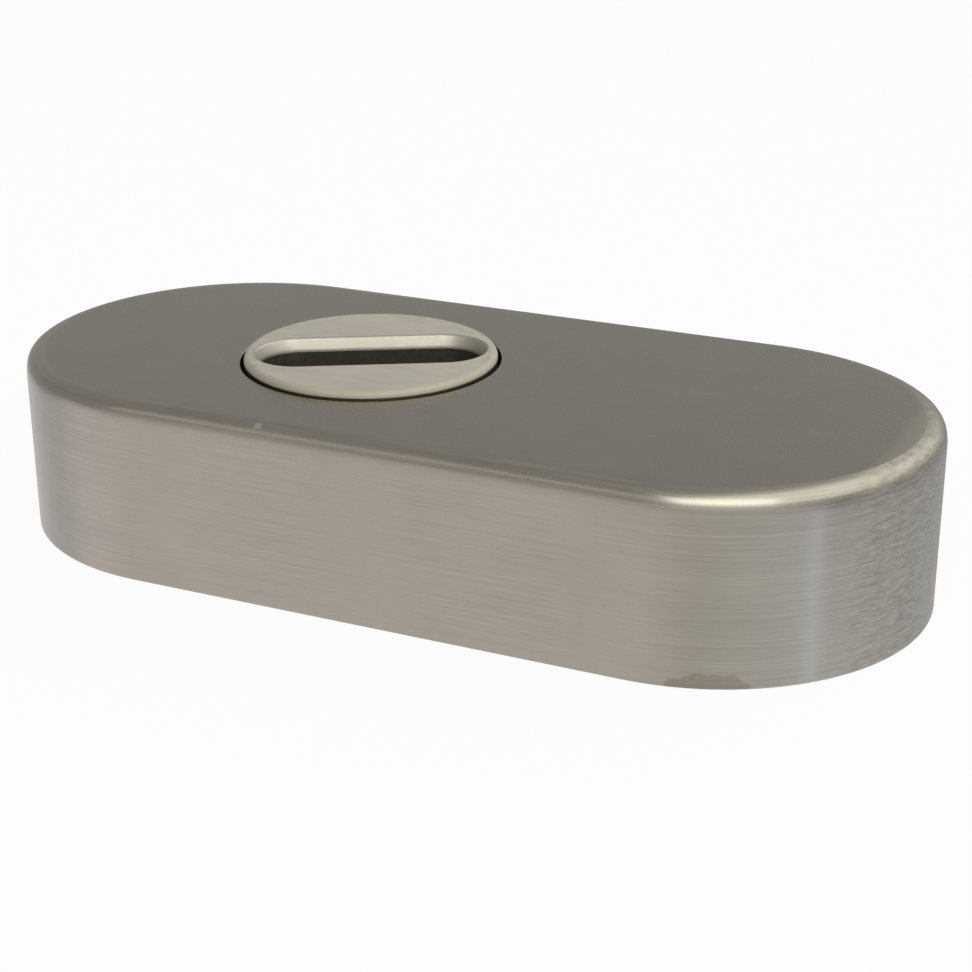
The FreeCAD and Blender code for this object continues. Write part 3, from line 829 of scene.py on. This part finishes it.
class ESCUTCHEON_OT_studio(bpy.types.Operator):
    """Set the pale floor, the soft lamps and the camera"""
    bl_idname = "escutcheon.studio"
    bl_label = "Studio"

    def execute(self, context):
        scene = context.scene
        self.floor()
        self.world(scene)
        self.lamp(scene, "key_softbox", azimuth=29, elevation=39, size=(0.36, 0.28), radiance=1.6)
        self.lamp(scene, "fill_softbox", azimuth=-27, elevation=35, size=(0.3, 0.1), radiance=0.6)
        self.camera(scene)
        scene.view_settings.view_transform = "Standard"
        return {"FINISHED"}

    def floor(self):
        """White paper under the escutcheon. The steel looks through it, to the table."""
        deselect()
        bpy.ops.mesh.primitive_plane_add(size=FLOOR_SIZE, location=(0, 0, -FLOOR_GAP))
        floor = bpy.context.active_object
        floor.name = "pale_floor"
        material = bpy.data.materials.new("pale_floor")
        tree = clear_nodes(material)
        ray = add_node(tree, "ShaderNodeLightPath")
        seen = add_node(tree, "ShaderNodeMath", {1: GLOW_SHARE}, {0: (ray, "Is Camera Ray")},
                        operation="MULTIPLY")
        share = add_node(tree, "ShaderNodeMath", None,
                         {0: (seen, "Value"), 1: (self.beside_cover(tree), "Value")},
                         operation="MULTIPLY")
        paper = add_node(tree, "ShaderNodeBsdfDiffuse", {"Color": PAPER_TONE})
        glow = add_node(tree, "ShaderNodeEmission", {"Strength": PAPER_WHITE})
        surface = add_node(tree, "ShaderNodeMixShader", None,
                           {0: (share, "Value"), 1: (paper, "BSDF"), 2: (glow, "Emission")})
        clear = add_node(tree, "ShaderNodeBsdfTransparent")
        facing = add_node(tree, "ShaderNodeNewGeometry")
        passed = add_node(tree, "ShaderNodeMath", None,
                          {0: (facing, "Backfacing"), 1: (ray, "Is Glossy Ray")},
                          operation="MAXIMUM")
        sided = add_node(tree, "ShaderNodeMixShader", None,
                         {0: (passed, "Value"), 1: (surface, "Shader"), 2: (clear, "BSDF")})
        add_node(tree, "ShaderNodeOutputMaterial", None, {"Surface": (sided, "Shader")})
        dress(floor, material)

    def beside_cover(self, tree):
        """1 where the floor is open, and 0 under the cover, where the paper lies in the dark."""
        low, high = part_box("cover_shell")
        half_width = (high.y - low.y) / 2
        reach = (high.x - low.x) / 2 - half_width
        place = add_node(tree, "ShaderNodeTexCoord")
        folded = add_node(tree, "ShaderNodeVectorMath", None, {0: (place, "Object")},
                          operation="ABSOLUTE")
        moved = add_node(tree, "ShaderNodeVectorMath", {1: (reach, 0, 0)},
                         {0: (folded, "Vector")}, operation="SUBTRACT")
        held = add_node(tree, "ShaderNodeVectorMath", {1: (0, 0, 0)}, {0: (moved, "Vector")},
                        operation="MAXIMUM")
        distance = add_node(tree, "ShaderNodeVectorMath", None, {0: (held, "Vector")},
                            operation="LENGTH")
        return add_node(tree, "ShaderNodeMath", {1: half_width - DARK_MARGIN},
                        {0: (distance, "Value")}, operation="GREATER_THAN")

    def world(self, scene):
        """The room in the reflections: a pale table, dim walls and a bright ceiling at +X.

        The camera itself sees a plain white backdrop in its place.
        """
        world = bpy.data.worlds.new("studio_room")
        scene.world = world
        tree = clear_nodes(world)
        place = add_node(tree, "ShaderNodeTexCoord")
        parts = add_node(tree, "ShaderNodeSeparateXYZ", None, {0: (place, "Generated")})
        front = add_node(tree, "ShaderNodeMath", {1: -1.0}, {0: (parts, "Y")},
                         operation="MULTIPLY")
        azimuth = add_node(tree, "ShaderNodeMath", None,
                           {0: (parts, "X"), 1: (front, "Value")}, operation="ARCTAN2")
        turn = add_node(tree, "ShaderNodeMapRange",
                        {"From Min": -math.pi, "From Max": math.pi}, {"Value": (azimuth, "Value")})
        table = add_node(tree, "ShaderNodeValToRGB", None, {"Fac": (turn, "Result")})
        place_tones(table, TABLE_TONES)
        edge = add_node(tree, "ShaderNodeValToRGB", None, {"Fac": (turn, "Result")})
        place_tones(edge, TABLE_EDGES)
        above = add_node(tree, "ShaderNodeMath", None,
                         {0: (parts, "Z"), 1: (edge, "Color")}, operation="ADD")
        wall_share = add_node(tree, "ShaderNodeMapRange",
                              {"From Min": -TABLE_FADE, "From Max": TABLE_FADE},
                              {"Value": (above, "Value")}, interpolation_type="SMOOTHSTEP")
        walls = add_node(tree, "ShaderNodeValToRGB", None, {"Fac": (turn, "Result")})
        place_tones(walls, WALL_TONES)
        lower = add_node(tree, "ShaderNodeMix", None,
                         {"Factor": (wall_share, "Result"), "A": (table, "Color"),
                          "B": (walls, "Color")}, data_type="RGBA")
        leaning = add_node(tree, "ShaderNodeMath", {1: -CEILING_LEAN},
                           {0: (parts, "Z"), 2: (parts, "X")}, operation="MULTIPLY_ADD")
        side = add_node(tree, "ShaderNodeMapRange",
                        {"From Min": CEILING_PLACES[0], "From Max": CEILING_PLACES[1]},
                        {"Value": (leaning, "Value")}, interpolation_type="SMOOTHSTEP")
        height = add_node(tree, "ShaderNodeMapRange",
                          {"From Min": CEILING_HEIGHTS[0], "From Max": CEILING_HEIGHTS[1]},
                          {"Value": (parts, "Z")}, interpolation_type="SMOOTHSTEP")
        ceiling = add_node(tree, "ShaderNodeMath", None,
                           {0: (side, "Result"), 1: (height, "Result")}, operation="MULTIPLY")
        room = add_node(tree, "ShaderNodeMix", {"B": CEILING_TONE},
                        {"Factor": (ceiling, "Value"), "A": (lower, "Result")},
                        data_type="RGBA")
        light = add_node(tree, "ShaderNodeBackground", None, {"Color": (room, "Result")})
        backdrop = add_node(tree, "ShaderNodeBackground",
                            {"Color": (1, 1, 1, 1), "Strength": PAPER_WHITE})
        ray = add_node(tree, "ShaderNodeLightPath")
        seen = add_node(tree, "ShaderNodeMixShader", None,
                        {0: (ray, "Is Camera Ray"), 1: (light, "Background"),
                         2: (backdrop, "Background")})
        add_node(tree, "ShaderNodeOutputWorld", None, {"Surface": (seen, "Shader")})

    def lamp(self, scene, name, azimuth, elevation, size, radiance):
        """A rectangular softbox that points at the escutcheon from these angles in degrees."""
        back = direction(azimuth, elevation)
        data = bpy.data.lights.new(name, "AREA")
        data.shape = "RECTANGLE"
        data.size, data.size_y = size
        data.energy = radiance * math.pi * size[0] * size[1]
        data.color = LAMP_COLOUR
        light = bpy.data.objects.new(name, data)
        scene.collection.objects.link(light)
        light.location = back * LAMP_DISTANCE
        face_back(light, back)

    def camera(self, scene):
        """The photograph's view."""
        back = direction(CAMERA_AZIMUTH, CAMERA_ELEVATION)
        data = bpy.data.cameras.new("photo_camera")
        data.sensor_width = CAMERA_SENSOR
        data.lens = CAMERA_LENS
        data.clip_start = CAMERA_CLIP
        camera = bpy.data.objects.new("photo_camera", data)
        scene.collection.objects.link(camera)
        camera.location = Vector(CAMERA_AIM) + back * CAMERA_DISTANCE
        face_back(camera, back, CAMERA_ROLL)
        scene.camera = camera


class ESCUTCHEON_PT_panel(bpy.types.Panel):
    """The escutcheon's pieces and sizes"""
    bl_idname = "ESCUTCHEON_PT_panel"
    bl_label = "Escutcheon"
    bl_space_type = "VIEW_3D"
    bl_region_type = "UI"
    bl_category = "Escutcheon"

    def draw(self, context):
        for operator in OPERATORS:
            self.layout.operator(operator.bl_idname)
        for group in (context.scene.escutcheon_sizes, context.scene.escutcheon_finish):
            column = self.layout.column()
            for name in group.bl_rna.properties.keys():
                if name not in ("rna_type", "name"):
                    column.prop(group, name)


OPERATORS = (ESCUTCHEON_OT_oval_cover, ESCUTCHEON_OT_key_disc, ESCUTCHEON_OT_depth_springs,
             ESCUTCHEON_OT_inner_parts, ESCUTCHEON_OT_studio)
CLASSES = (EscutcheonSizes, EscutcheonFinish, *OPERATORS, ESCUTCHEON_PT_panel)


def register():
    """Registers the classes and gives the scene its sizes and finishes."""
    for item in CLASSES:
        bpy.utils.register_class(item)
    bpy.types.Scene.escutcheon_sizes = bpy.props.PointerProperty(type=EscutcheonSizes)
    bpy.types.Scene.escutcheon_finish = bpy.props.PointerProperty(type=EscutcheonFinish)


def unregister():
    """Takes back what register gave."""
    del bpy.types.Scene.escutcheon_finish
    del bpy.types.Scene.escutcheon_sizes
    for item in reversed(CLASSES):
        bpy.utils.unregister_class(item)


def main():
    """Makes the escutcheon and its stage."""
    register()
    bpy.ops.escutcheon.inner_parts()
    bpy.ops.escutcheon.oval_cover()
    bpy.ops.escutcheon.key_disc()
    bpy.ops.escutcheon.depth_springs()
    bpy.ops.escutcheon.studio()


if __name__ == "__main__":
    main()
